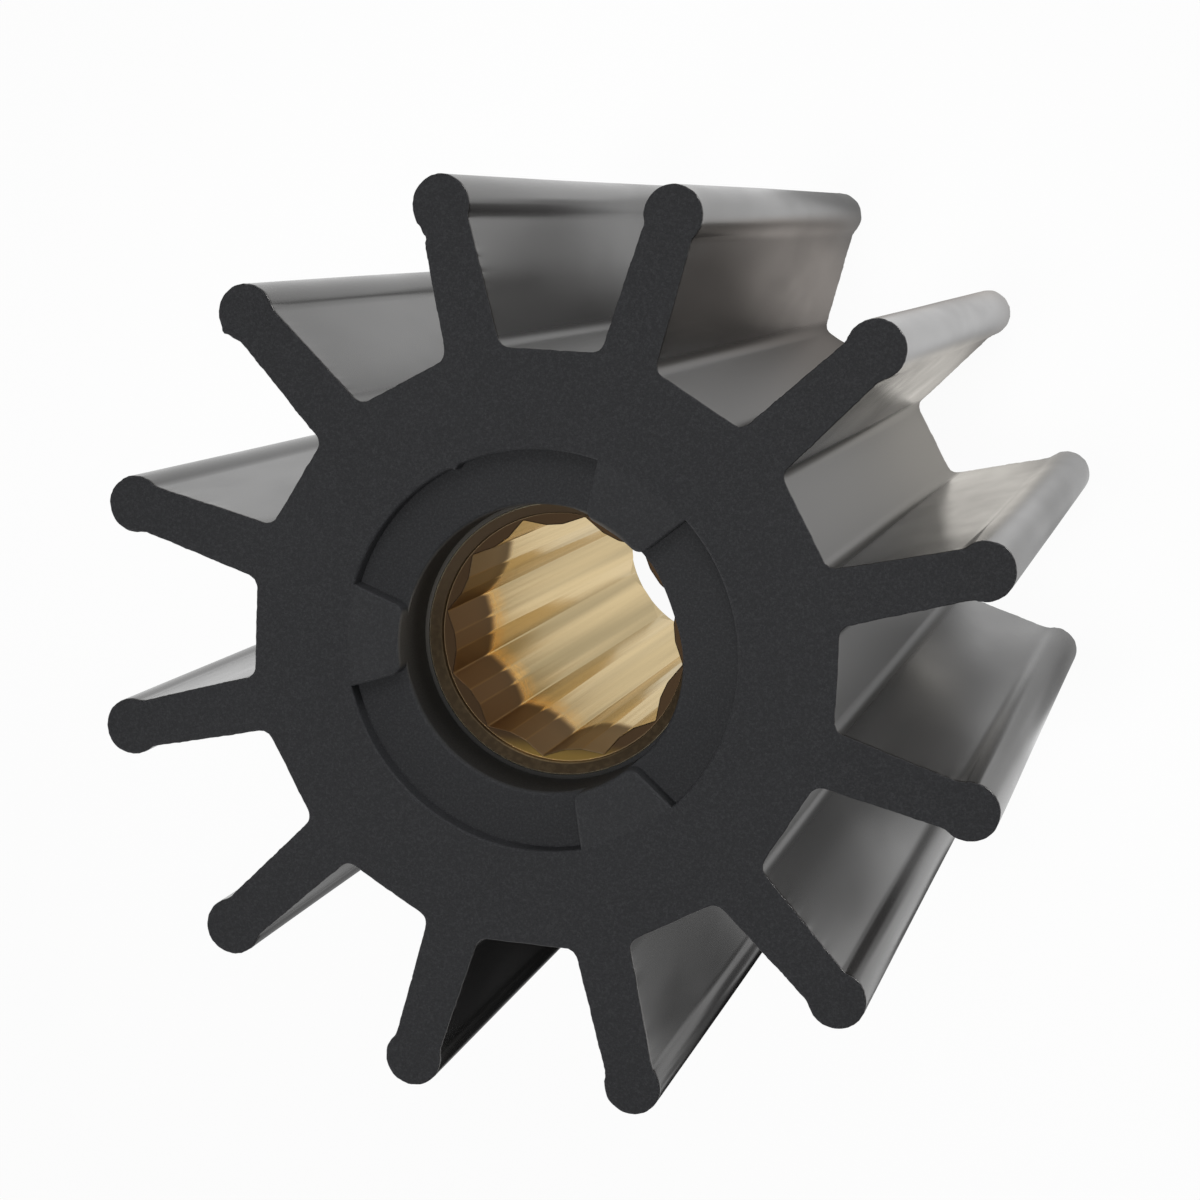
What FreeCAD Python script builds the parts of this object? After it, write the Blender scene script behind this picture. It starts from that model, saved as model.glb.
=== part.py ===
# Rubber pump impeller for a flexible-vane sea-water pump, in millimetres.
# Two pieces: a moulded rubber body with twelve bead-tipped blades round a faceted hub, and a
# turned brass insert with an internal spline, to which the rubber is bonded.
# The impeller stands on its rear face. The origin is the centre of that face, and +Z runs along
# the shaft axis to the front face.

import FreeCAD
import Part
import Sketcher
import math
import os

# Driving sizes: name, value in millimetres, degrees or pieces, and what it is.
DRIVING_SIZES = (
    ("tip_diameter", 95.0, "circle over the blade tips"),
    ("impeller_length", 94.6, "rear face to front face"),
    ("blade_count", 12, "blades, one on each corner of the hub"),
    ("bead_radius", 2.9, "round bead along each blade tip"),
    ("neck_thickness", 4.86, "blade where it meets its bead"),
    ("root_thickness", 5.7, "blade where it enters the hub"),
    ("neck_blend_radius", 2.0, "hollow between blade side and bead"),
    ("root_fillet_radius", 1.3, "hollow between blade side and hub facet"),
    ("hub_across_flats", 59.4, "hub between opposite facets"),
    ("recess_ring_width", 5.6, "sunk ring in each end face, from the seat bore outwards"),
    ("recess_depth", 2.0, "sunk ring below the end face"),
    ("tab_count", 3, "lands left standing in the sunk ring"),
    ("tab_root_width", 10.4, "land where it leaves the edge of the ring"),
    ("tab_tip_width", 6.3, "land at the insert, before its corners are rounded"),
    ("tab_corner_radius", 1.2, "upright corners at the inner end of a land"),
    ("front_seat_depth", 8.1, "front face to the insert"),
    ("rear_seat_depth", 5.7, "rear face to the insert"),
    ("seat_step", 0.4, "rubber bore outside the insert, on the radius"),
    ("insert_wall", 1.4, "brass outside the groove bottoms"),
    ("end_cone_depth", 0.8, "dished ring at each end of the insert"),
    ("front_counterbore_depth", 1.3, "front end of the insert to the teeth"),
    ("rear_counterbore_depth", 5.0, "rear end of the insert to the teeth"),
    ("counterbore_margin", 0.2, "counterbore outside the grooves, on the radius"),
    ("groove_count", 12, "grooves of the internal spline"),
    ("spline_major_diameter", 25.2, "over the groove bottoms"),
    ("tooth_height", 1.0, "groove bottom to tooth tip, on the radius"),
    ("tooth_tip_width", 1.8, "flat tip of a tooth"),
    ("spline_clocking", -7.7, "turn of the first groove from +X"),
)

# How far a groove's cutting profile runs past the bore wall, into open space.
OVERRUN = 0.2

HALF_BLADE_PITCH = "180 deg / Sizes.blade_count"
HALF_TAB_PITCH = "180 deg / Sizes.tab_count"
HALF_GROOVE_PITCH = "180 deg / Sizes.groove_count"
HUB_FLAT_RADIUS = "Sizes.hub_across_flats / 2"
HUB_CORNER_RADIUS = f"{HUB_FLAT_RADIUS} / cos({HALF_BLADE_PITCH})"
BEAD_PLACE = "Sizes.tip_diameter / 2 - Sizes.bead_radius"
GROOVE_BOTTOM_RADIUS = "Sizes.spline_major_diameter / 2"
TOOTH_TIP_RADIUS = f"{GROOVE_BOTTOM_RADIUS} - Sizes.tooth_height"
COUNTERBORE_RADIUS = f"{GROOVE_BOTTOM_RADIUS} + Sizes.counterbore_margin"
INSERT_RADIUS = f"{GROOVE_BOTTOM_RADIUS} + Sizes.insert_wall"
SEAT_RADIUS = f"{INSERT_RADIUS} + Sizes.seat_step"
RECESS_RADIUS = f"{SEAT_RADIUS} + Sizes.recess_ring_width"

FRONT_FACE = "Sizes.impeller_length"
FRONT_FLOOR = "Sizes.impeller_length - Sizes.recess_depth"
REAR_FACE = "0 mm"
REAR_FLOOR = "Sizes.recess_depth"
INSERT_FRONT = "Sizes.impeller_length - Sizes.front_seat_depth"
INSERT_REAR = "Sizes.rear_seat_depth"

doc = FreeCAD.newDocument("pump_impeller")


def make_size_sheet():
    """One sheet with every driving size: name, value and meaning."""
    sheet = doc.addObject("Spreadsheet::Sheet", "Sizes")
    for row, (name, value, meaning) in enumerate(DRIVING_SIZES, 1):
        sheet.set(f"A{row}", name)
        sheet.set(f"B{row}", str(value))
        sheet.set(f"C{row}", meaning)
        sheet.setAlias(f"B{row}", name)
    doc.recompute()
    return sheet


sizes = make_size_sheet()


# Helpers that every piece uses

def number(size):
    """The plain number that a size expression gives: millimetres, degrees or pieces."""
    result = sizes.evalExpression(size)
    return float(getattr(result, "Value", result))


def polar_point(radius, degrees):
    """The point at this radius and angle in a sketch."""
    angle = math.radians(degrees)
    return (radius * math.cos(angle), radius * math.sin(angle))


def mirrored_point(point):
    """The same point on the other side of the sketch's X axis."""
    return (point[0], -point[1])


def add_body(name):
    """A new body at the origin, labelled with the name of its piece."""
    body = doc.addObject("PartDesign::Body", name)
    body.Label = name
    body.Placement = FreeCAD.Placement()
    return body


def origin_feature(body, role):
    """The plane or axis of the body's own origin that has this role."""
    return next(item for item in body.Origin.OriginFeatures if item.Role == role)


def add_sketch(body, name, plane="XY_Plane", height=None, turn=None):
    """A sketch on a plane of the body, raised to a height and turned about the shaft axis."""
    sketch = body.newObject("Sketcher::SketchObject", name)
    sketch.AttachmentSupport = [(origin_feature(body, plane), "")]
    sketch.MapMode = "FlatFace"
    if height:
        sketch.setExpression(".AttachmentOffset.Base.z", height)
    if turn:
        sketch.setExpression(".AttachmentOffset.Rotation.Angle", turn)
    return sketch


def constrain(sketch, *details, size=None):
    """One constraint of a sketch. One with a value is driven by a size expression."""
    if size is None:
        sketch.addConstraint(Sketcher.Constraint(*details))
        return
    index = sketch.addConstraint(Sketcher.Constraint(*details, sizes.evalExpression(size)))
    sketch.setExpression(f"Constraints[{index}]", size)


def add_line(sketch, start, end, construction=False):
    """A straight edge or construction line from (x, y) to (x, y)."""
    segment = Part.LineSegment(FreeCAD.Vector(*start, 0), FreeCAD.Vector(*end, 0))
    return sketch.addGeometry(segment, construction)


def add_arc(sketch, centre_place, radius, degrees):
    """An arc about a point of the sketch's X axis, equally far to both sides of that axis."""
    circle = Part.Circle(FreeCAD.Vector(centre_place, 0, 0), FreeCAD.Vector(0, 0, 1), radius)
    half_sweep = math.radians(degrees)
    return sketch.addGeometry(Part.ArcOfCircle(circle, -half_sweep, half_sweep))


def add_circle(sketch, size, construction=False):
    """A circle about the shaft axis with this radius."""
    circle = Part.Circle(FreeCAD.Vector(), FreeCAD.Vector(0, 0, 1), number(size))
    index = sketch.addGeometry(circle, construction)
    constrain(sketch, "Coincident", index, 3, -1, 1)
    constrain(sketch, "Radius", index, size=size)
    return index


def add_loop(sketch, corners):
    """Straight edges from corner to corner and back to the first, joined at their ends."""
    edges = [
        add_line(sketch, corner, corners[(place + 1) % len(corners)])
        for place, corner in enumerate(corners)
    ]
    for place, edge in enumerate(edges):
        constrain(sketch, "Coincident", edge, 2, edges[(place + 1) % len(edges)], 1)
    return edges


def add_centreline(sketch, size):
    """A construction line from the shaft axis at this angle to the sketch's X axis."""
    length = number(RECESS_RADIUS)
    index = add_line(sketch, (0, 0), polar_point(length, number(size)), construction=True)
    constrain(sketch, "Coincident", index, 1, -1, 1)
    constrain(sketch, "Distance", index, size=RECESS_RADIUS)
    constrain(sketch, "Angle", index, size=size)
    return index


def join_arc_profile(sketch, arc, left_side, closing, right_side):
    """Close a profile made of an arc and three straight edges, alike on both sides of X."""
    constrain(sketch, "Coincident", arc, 2, left_side, 1)
    constrain(sketch, "Coincident", left_side, 2, closing, 1)
    constrain(sketch, "Coincident", closing, 2, right_side, 1)
    constrain(sketch, "Coincident", right_side, 2, arc, 1)
    constrain(sketch, "Vertical", left_side, 1, right_side, 2)
    constrain(sketch, "Symmetric", left_side, 2, right_side, 1, -1)


def add_pad(body, name, sketch):
    """Material over a sketch, from the rear face to the front face."""
    pad = body.newObject("PartDesign::Pad", name)
    pad.Profile = sketch
    pad.setExpression("Length", "Sizes.impeller_length")
    doc.recompute()
    return pad


def add_pocket(body, name, sketch, depth=None, upwards=False):
    """A pocket from a sketch, down or upwards: to a depth, or right through."""
    pocket = body.newObject("PartDesign::Pocket", name)
    pocket.Profile = sketch
    pocket.Reversed = upwards
    if depth:
        pocket.setExpression("Length", depth)
    else:
        pocket.Type = "ThroughAll"
    doc.recompute()
    return pocket


def add_round_pocket(body, name, radius, height, depth=None, upwards=False):
    """A round pocket about the shaft axis."""
    sketch = add_sketch(body, f"{name}_profile", height=height)
    add_circle(sketch, radius)
    return add_pocket(body, name, sketch, depth, upwards)


def add_polar_pattern(body, name, feature, count):
    """The feature repeated evenly round the shaft axis."""
    pattern = body.newObject("PartDesign::PolarPattern", name)
    pattern.Originals = [feature]
    pattern.Axis = (origin_feature(body, "Z_Axis"), [""])
    pattern.Angle = 360
    pattern.setExpression("Occurrences", count)
    body.Tip = pattern
    doc.recompute()
    return pattern


def upright_edges(shape, radii, heights):
    """Names of the straight edges that run along the axis between exactly these two heights,
    at a distance from the axis between these two radii."""
    names = []
    for index, edge in enumerate(shape.Edges, 1):
        ends = sorted(edge.Vertexes, key=lambda vertex: vertex.Z)
        if len(ends) != 2 or not isinstance(edge.Curve, Part.Line):
            continue
        low, high = ends[0].Point, ends[1].Point
        upright = math.hypot(low.x - high.x, low.y - high.y) < 0.001
        spans = abs(low.z - heights[0]) < 0.001 and abs(high.z - heights[1]) < 0.001
        if upright and spans and radii[0] < math.hypot(low.x, low.y) < radii[1]:
            names.append(f"Edge{index}")
    return names


def add_fillet(body, name, feature, edges, radius):
    """Edges of a feature rounded with one radius."""
    fillet = body.newObject("PartDesign::Fillet", name)
    fillet.Base = (feature, edges)
    fillet.setExpression("Radius", radius)
    body.Tip = fillet
    doc.recompute()
    return fillet


# Rubber body: hub and blades

def add_hub(body):
    """A prism with a corner under each blade and a flat facet between each two blades."""
    sketch = add_sketch(body, "hub_profile", turn=HALF_BLADE_PITCH)
    count = int(sizes.blade_count)
    corner_radius = number(HUB_CORNER_RADIUS)
    facets = add_loop(
        sketch, [polar_point(corner_radius, 360 * place / count) for place in range(count)]
    )
    circle = add_circle(sketch, HUB_CORNER_RADIUS, construction=True)
    constrain(sketch, "PointOnObject", facets[0], 1, -1)
    for facet in facets:
        constrain(sketch, "PointOnObject", facet, 1, circle)
    for facet in facets[1:]:
        constrain(sketch, "Equal", facets[0], facet)
    return add_pad(body, "hub", sketch)


def add_blade(body):
    """One blade: sides that taper from inside the hub out to a round bead at the tip."""
    sketch = add_sketch(body, "blade_profile", turn=HALF_BLADE_PITCH)
    bead_radius = sizes.bead_radius
    bead_place = number(BEAD_PLACE)
    half_neck = sizes.neck_thickness / 2
    half_sweep = 180 - math.degrees(math.asin(half_neck / bead_radius))
    neck = polar_point(bead_radius, half_sweep)
    neck = (neck[0] + bead_place, neck[1])
    root = (number(HUB_FLAT_RADIUS), sizes.root_thickness / 2)

    bead = add_arc(sketch, bead_place, bead_radius, half_sweep)
    left_side = add_line(sketch, neck, root)
    closing = add_line(sketch, root, mirrored_point(root))
    right_side = add_line(sketch, mirrored_point(root), mirrored_point(neck))
    constrain(sketch, "PointOnObject", bead, 3, -1)
    join_arc_profile(sketch, bead, left_side, closing, right_side)
    constrain(sketch, "Radius", bead, size="Sizes.bead_radius")
    constrain(sketch, "DistanceX", -1, 1, bead, 3, size=BEAD_PLACE)
    constrain(sketch, "DistanceX", -1, 1, closing, 1, size=HUB_FLAT_RADIUS)
    constrain(sketch, "DistanceY", right_side, 2, left_side, 1, size="Sizes.neck_thickness")
    constrain(sketch, "DistanceY", closing, 2, closing, 1, size="Sizes.root_thickness")
    return add_pad(body, "blade", sketch)


def round_blades(body, blades):
    """Hollow fillets at the blade roots and soft blends under the beads."""
    tip_radius = sizes.tip_diameter / 2
    halfway = (number(HUB_FLAT_RADIUS) + tip_radius) / 2
    heights = (0, sizes.impeller_length)
    root_edges = upright_edges(blades.Shape, (0, halfway), heights)
    roots = add_fillet(body, "root_fillets", blades, root_edges, "Sizes.root_fillet_radius")
    neck_edges = upright_edges(roots.Shape, (halfway, tip_radius), heights)
    add_fillet(body, "neck_blends", roots, neck_edges, "Sizes.neck_blend_radius")


# Rubber body: sunk ends and bore

def add_recess_sector(body, name, height, upwards):
    """One stretch of the sunk ring, centred on +X between two lands. Its profile closes on
    the insert's circle, inside the bore."""
    sketch = add_sketch(body, f"{name}_profile", height=height)
    outer_radius = number(RECESS_RADIUS)
    inner_radius = number(INSERT_RADIUS)
    tab_angle = number(HALF_TAB_PITCH)
    root_sweep = math.degrees(math.asin(sizes.tab_root_width / 2 / outer_radius))
    tip_sweep = math.degrees(math.asin(sizes.tab_tip_width / 2 / inner_radius))
    rim_end = polar_point(outer_radius, tab_angle - root_sweep)
    bore_end = polar_point(inner_radius, tab_angle - tip_sweep)

    rim = add_arc(sketch, 0, outer_radius, tab_angle - root_sweep)
    left_side = add_line(sketch, rim_end, bore_end)
    closing = add_line(sketch, bore_end, mirrored_point(bore_end))
    right_side = add_line(sketch, mirrored_point(bore_end), mirrored_point(rim_end))
    insert_circle = add_circle(sketch, INSERT_RADIUS, construction=True)
    tab_line = add_centreline(sketch, HALF_TAB_PITCH)
    constrain(sketch, "Coincident", rim, 3, -1, 1)
    join_arc_profile(sketch, rim, left_side, closing, right_side)
    constrain(sketch, "Radius", rim, size=RECESS_RADIUS)
    constrain(sketch, "Distance", left_side, 1, tab_line, size="Sizes.tab_root_width / 2")
    constrain(sketch, "PointOnObject", left_side, 2, insert_circle)
    constrain(sketch, "Distance", left_side, 2, tab_line, size="Sizes.tab_tip_width / 2")
    return add_pocket(body, name, sketch, "Sizes.recess_depth", upwards)


def sink_end(body, end, face, floor, seat_depth, upwards):
    """In one end face: a sunk ring with lands, and a seat bore down to the insert."""
    add_round_pocket(body, f"{end}_mouth", SEAT_RADIUS, face, "Sizes.recess_depth", upwards)
    sector = add_recess_sector(body, f"{end}_recess", face, upwards)
    recess = add_polar_pattern(body, f"{end}_recess_ring", sector, "Sizes.tab_count")
    seat_radius = number(SEAT_RADIUS)
    corner_edges = upright_edges(
        recess.Shape,
        (seat_radius - 0.01, seat_radius + 0.01),
        sorted((number(face), number(floor))),
    )
    add_fillet(body, f"{end}_tab_corners", recess, corner_edges, "Sizes.tab_corner_radius")
    seat_below_floor = f"{seat_depth} - Sizes.recess_depth"
    add_round_pocket(body, f"{end}_seat", SEAT_RADIUS, floor, seat_below_floor, upwards)


def make_impeller_body():
    """The rubber body, moulded in one piece."""
    body = add_body("impeller_body")
    add_hub(body)
    blades = add_polar_pattern(body, "blades", add_blade(body), "Sizes.blade_count")
    round_blades(body, blades)
    sink_end(body, "front", FRONT_FACE, FRONT_FLOOR, "Sizes.front_seat_depth", False)
    sink_end(body, "rear", REAR_FACE, REAR_FLOOR, "Sizes.rear_seat_depth", True)
    add_round_pocket(body, "insert_bore", INSERT_RADIUS, FRONT_FACE)
    return body


# Brass insert

def add_turned_blank(body):
    """The insert before its spline is cut: dished ends, counterbores and a plain bore."""
    front_cone = f"{INSERT_FRONT} - Sizes.end_cone_depth"
    front_teeth = f"{INSERT_FRONT} - Sizes.front_counterbore_depth"
    rear_cone = f"{INSERT_REAR} + Sizes.end_cone_depth"
    rear_teeth = f"{INSERT_REAR} + Sizes.rear_counterbore_depth"
    section = (
        (INSERT_RADIUS, INSERT_REAR),
        (INSERT_RADIUS, INSERT_FRONT),
        (COUNTERBORE_RADIUS, front_cone),
        (COUNTERBORE_RADIUS, front_teeth),
        (TOOTH_TIP_RADIUS, front_teeth),
        (TOOTH_TIP_RADIUS, rear_teeth),
        (COUNTERBORE_RADIUS, rear_teeth),
        (COUNTERBORE_RADIUS, rear_cone),
    )
    sketch = add_sketch(body, "turned_section", plane="XZ_Plane")
    edges = add_loop(sketch, [(number(radius), number(height)) for radius, height in section])
    for edge, (radius, height) in zip(edges, section):
        constrain(sketch, "DistanceX", -1, 1, edge, 1, size=radius)
        constrain(sketch, "DistanceY", -1, 1, edge, 1, size=height)
    blank = body.newObject("PartDesign::Revolution", "turned_blank")
    blank.Profile = sketch
    blank.ReferenceAxis = (sketch, ["V_Axis"])
    blank.Angle = 360
    doc.recompute()
    return blank


def add_groove(body):
    """One sharp-bottomed groove of the spline. Its flanks meet the bore wall half a tooth tip
    from the middle of each neighbouring tooth, and run on a little into the open bore."""
    sketch = add_sketch(body, "groove_profile", height=FRONT_FACE, turn="Sizes.spline_clocking")
    bore_radius = number(TOOTH_TIP_RADIUS)
    tooth_angle = number(HALF_GROOVE_PITCH)
    tip_sweep = math.degrees(math.asin(sizes.tooth_tip_width / 2 / bore_radius))
    bottom = FreeCAD.Vector(number(GROOVE_BOTTOM_RADIUS), 0, 0)
    wall = FreeCAD.Vector(*polar_point(bore_radius, tooth_angle - tip_sweep), 0)
    mouth = wall + (wall - bottom).normalize() * OVERRUN

    left_flank, _, right_flank = add_loop(
        sketch, [(bottom.x, 0), (mouth.x, mouth.y), (mouth.x, -mouth.y)]
    )
    bore_circle = add_circle(sketch, TOOTH_TIP_RADIUS, construction=True)
    tooth_line = add_centreline(sketch, HALF_GROOVE_PITCH)
    wall_point = sketch.addGeometry(Part.Point(wall), True)
    constrain(sketch, "PointOnObject", left_flank, 1, -1)
    constrain(sketch, "Symmetric", left_flank, 2, right_flank, 1, -1)
    constrain(sketch, "DistanceX", -1, 1, left_flank, 1, size=GROOVE_BOTTOM_RADIUS)
    constrain(sketch, "PointOnObject", wall_point, 1, bore_circle)
    constrain(sketch, "PointOnObject", wall_point, 1, left_flank)
    constrain(sketch, "Distance", wall_point, 1, tooth_line, size="Sizes.tooth_tip_width / 2")
    constrain(sketch, "Distance", wall_point, 1, left_flank, 2, size=f"{OVERRUN} mm")
    return add_pocket(body, "groove", sketch)


def make_spline_insert():
    """The brass insert: a turned blank with the grooves of the spline cut through it."""
    body = add_body("spline_insert")
    add_turned_blank(body)
    add_polar_pattern(body, "spline_grooves", add_groove(body), "Sizes.groove_count")
    return body


# Build, check and write the pieces

def check_document(pieces):
    """Stop at the first feature that failed, and at a piece that isn't one closed solid."""
    for item in doc.Objects:
        if "Invalid" in item.State or "Error" in item.State:
            raise RuntimeError(f"{item.Label} failed: {item.State}")
    for piece in pieces:
        shape = piece.Shape
        if shape.isNull() or not shape.isValid() or len(shape.Solids) != 1:
            raise RuntimeError(f"{piece.Label} isn't one valid solid")


def export_pieces(pieces):
    """One STEP file for each piece, named after it."""
    os.makedirs("parts", exist_ok=True)
    for piece in pieces:
        piece.Shape.exportStep(f"parts/{piece.Label}.step")
        print(piece.Label, "volume", round(piece.Shape.Volume, 1), "mm3")


pieces = [make_impeller_body(), make_spline_insert()]
doc.recompute()
check_document(pieces)
export_pieces(pieces)
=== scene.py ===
# The looks of the rubber pump impeller: a moulded rubber body with twelve bead-tipped blades,
# and the brass insert in its bore. Sizes are in metres, in the frame of the CAD model: the
# origin is the centre of the rear face, and +Z runs along the shaft to the front face. In the
# photograph's view, +X points to the right and +Y up.

import bmesh
import bpy
import math
from mathutils import Matrix, Vector, noise


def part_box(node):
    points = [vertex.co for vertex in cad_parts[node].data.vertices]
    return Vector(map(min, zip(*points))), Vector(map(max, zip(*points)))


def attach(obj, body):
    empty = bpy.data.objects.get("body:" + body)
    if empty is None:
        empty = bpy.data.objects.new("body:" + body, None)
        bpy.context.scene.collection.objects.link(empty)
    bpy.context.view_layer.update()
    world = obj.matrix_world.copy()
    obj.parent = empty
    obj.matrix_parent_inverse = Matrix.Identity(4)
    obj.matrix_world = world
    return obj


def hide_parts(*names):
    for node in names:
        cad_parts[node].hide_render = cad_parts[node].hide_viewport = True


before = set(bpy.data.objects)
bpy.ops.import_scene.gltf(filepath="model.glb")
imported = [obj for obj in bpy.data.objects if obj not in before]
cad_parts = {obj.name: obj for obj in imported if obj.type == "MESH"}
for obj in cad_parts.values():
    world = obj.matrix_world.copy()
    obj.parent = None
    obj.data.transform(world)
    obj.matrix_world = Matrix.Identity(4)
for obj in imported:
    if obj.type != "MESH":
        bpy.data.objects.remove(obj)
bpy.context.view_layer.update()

MM = 0.001

# Heights that the frame gives

BODY_LOW, BODY_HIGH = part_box("impeller_body")
INSERT_LOW, INSERT_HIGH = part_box("spline_insert")
REAR_FACE = BODY_LOW.z
FRONT_FACE = BODY_HIGH.z
INSERT_REAR = INSERT_LOW.z
INSERT_FRONT = INSERT_HIGH.z

# Rubber body: the same outline as in the CAD model

BLADE_COUNT = 12
BLADE_PITCH = 2 * math.pi / BLADE_COUNT
TIP_RADIUS = 47.5 * MM
BEAD_RADIUS = 2.9 * MM
BEAD_PLACE = TIP_RADIUS - BEAD_RADIUS
NECK_THICKNESS = 4.86 * MM
ROOT_THICKNESS = 5.7 * MM
NECK_BLEND = 2.0 * MM
ROOT_FILLET = 1.3 * MM
HUB_FLAT_RADIUS = 29.7 * MM
TAB_COUNT = 3
TAB_ROOT_WIDTH = 10.4 * MM
TAB_TIP_WIDTH = 6.3 * MM
TAB_CORNER = 1.2 * MM
INSERT_RADIUS = 14.0 * MM
SEAT_RADIUS = 14.4 * MM
RECESS_RADIUS = 20.0 * MM
RECESS_DEPTH = 2.0 * MM

# Rubber body: rounded edges. The seat's edge gets its full rounding over a stretch of angles
# beside each land, and its depth never falls under a least share.

EDGE_ROUND = 0.13 * MM
RECESS_EDGE_ROUND = 0.3 * MM
SEAT_EDGE_ROUND = 0.45 * MM
SEAT_EDGE_RUN_OUT = math.radians(6)
SEAT_EDGE_LEAST = 0.05

# Rubber body: unevenness. The noise that makes it is in cycles per metre, and the seeds keep
# its layers apart.

TRIM_RAGGEDNESS = 0.06 * MM
TRIM_RAGGEDNESS_DEPTH = 1.2 * MM
TRIM_COARSE_NOISE = 700
TRIM_FINE_NOISE = 2600
TRIM_FRONT_SEED = 3.0
TRIM_REAR_SEED = 11.0
TRIM_FINE_SEED_STEP = 7
SIDE_WAVINESS = 0.06 * MM
WAVES_ACROSS = 110
WAVES_ALONG = 28

# The seat leans inwards a little on one side: by how much, over which stretch of angles, and
# how much more between the two lands there. It reaches its full lean soon, by its steepness.

SEAT_LEAN = 0.24 * MM
SEAT_LEAN_MORE = 0.34 * MM
SEAT_LEAN_MIDDLE = math.radians(30)
SEAT_LEAN_HALF_SPREAD = math.radians(58)
SEAT_LEAN_STEEPNESS = 2.5
SEAT_LEAN_MORE_MIDDLE = math.radians(22)
SEAT_LEAN_MORE_HALF_SPREAD = math.radians(27)
SEAT_LEAN_REACH = 3.0 * MM

# Small burrs and nicks on the edges of the front face: the place, how far it moves the edge
# away from the shaft or, below zero, towards it, and how wide it is

TRIM_MARKS = (
    (Vector((-13.3, 39.7)) * MM, -0.3 * MM, 0.35 * MM),
    (Vector((-13.9, 41.2)) * MM, 0.2 * MM, 0.5 * MM),
    (Vector((-33.9, 29.5)) * MM, 0.5 * MM, 0.35 * MM),
    (Vector((-9.2, 17.6)) * MM, -0.45 * MM, 0.3 * MM),
)

# Brass insert. The tip share is half of a tooth's tip, as a share of the groove pitch.

GROOVE_COUNT = 12
GROOVE_PITCH = 2 * math.pi / GROOVE_COUNT
SPLINE_CLOCKING = math.radians(-7.7)
GROOVE_BOTTOM_RADIUS = 12.6 * MM
TOOTH_TIP_RADIUS = 11.6 * MM
TOOTH_TIP_WIDTH = 1.8 * MM
TIP_SHARE = math.asin(TOOTH_TIP_WIDTH / 2 / TOOTH_TIP_RADIUS) / GROOVE_PITCH
COUNTERBORE_RADIUS = 12.8 * MM
END_CONE_DEPTH = 0.8 * MM
FRONT_COUNTERBORE_DEPTH = 1.3 * MM
REAR_COUNTERBORE_DEPTH = 5.0 * MM
GROOVE_BOTTOM_ROUND = 0.25 * MM
TOOTH_CORNER_ROUND = 1.0 * MM
RIM_ROUND = 0.16 * MM
INNER_RIM_RADIUS = COUNTERBORE_RADIUS + 0.3 * RIM_ROUND
INNER_RIM_DROP = 0.6 * RIM_ROUND
TOOTH_END_ROUND = 0.6 * RIM_ROUND
TOOTH_END_SHARES = (1.0, 0.3, 0.0)
RING_MIDDLE = (INSERT_RADIUS + COUNTERBORE_RADIUS) / 2

# How finely the outlines and the meshes are divided. The rim is the flat band beside a rounded
# edge, as a share of the edge's radius. The end rubber covers this many bands of the sides.

BEAD_STEPS = 18
NECK_STEPS = 6
BLADE_SIDE_STEPS = 40
ROOT_STEPS = 6
FACET_STEPS = 8
RECESS_RIM_STEPS = 40
LAND_SIDE_STEPS = 8
LAND_CORNER_STEPS = 6
LAND_TIP_STEPS = 6
GROOVE_BOTTOM_STEPS = 4
FLANK_STEPS = 4
TOOTH_CORNER_STEPS = 5
TOOTH_TIP_STEPS = 3
LENGTH_STEPS = 26
BORE_LENGTH_STEPS = 24
EDGE_STEPS = 4
EDGE_RIM = 0.4
END_RUBBER_BANDS = 3
MERGE_DISTANCE = 0.001 * MM
SHARP_ANGLE = math.radians(38)

# Colours, with their alpha

WHITE = (1, 1, 1, 1)
END_DARK = (0.0115, 0.0120, 0.0138, 1)
END_PALE = (0.0165, 0.0170, 0.0192, 1)
END_PIT = (0.004, 0.004, 0.005, 1)
END_SPECK = (0.040, 0.041, 0.044, 1)
RECESS_PAINTED_LIGHT = (0.040, 0.041, 0.043, 1)
SEAT_SHADING_LOW = (0.0150, 0.0138, 0.0115, 1)
SEAT_SHADING_HIGH = (0.085, 0.077, 0.065, 1)
SIDE_DARK = (0.0115, 0.0108, 0.0101, 1)
SIDE_PALE = (0.018, 0.0169, 0.0158, 1)
GOLD_DARK = (0.34, 0.265, 0.145, 1)
GOLD_BRIGHT = (0.64, 0.50, 0.29, 1)
PAINTED_FRINGE_ORANGE = (0.80, 0.46, 0.12, 1)
PAINTED_REFLECTION_PALE = (0.42, 0.31, 0.20, 1)
PAINTED_REFLECTION_DEEP = (0.27, 0.15, 0.078, 1)
PAINTED_REFLECTION_CORNER = (0.50, 0.31, 0.13, 1)
PAINTED_REFLECTION_DARK = (0.12, 0.08, 0.06, 1)
RING_BROWN = (0.098, 0.072, 0.045, 1)
RING_WORN = (0.20, 0.15, 0.09, 1)
RING_PAINTED_LIGHT = (0.24, 0.175, 0.115, 1)
INNER_RIM_DARK = (0.20, 0.145, 0.085, 1)
INNER_RIM_PAINTED_HIGHLIGHT = (0.36, 0.26, 0.14, 1)
OUTER_RIM_DARK = (0.50, 0.44, 0.32, 1)
OUTER_RIM_PAINTED_LIGHT = (0.72, 0.66, 0.49, 1)
WELL_PAINTED_SHADE = (0.05, 0.031, 0.017, 1)
WELL_PAINTED_LIGHT = (0.16, 0.105, 0.03, 1)

# Where the rubber changes: the sunk ring, paler with painted light, painted light and shade on
# the seat's wall on one side of it, and the hub facets, which are rougher than the blades

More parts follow.
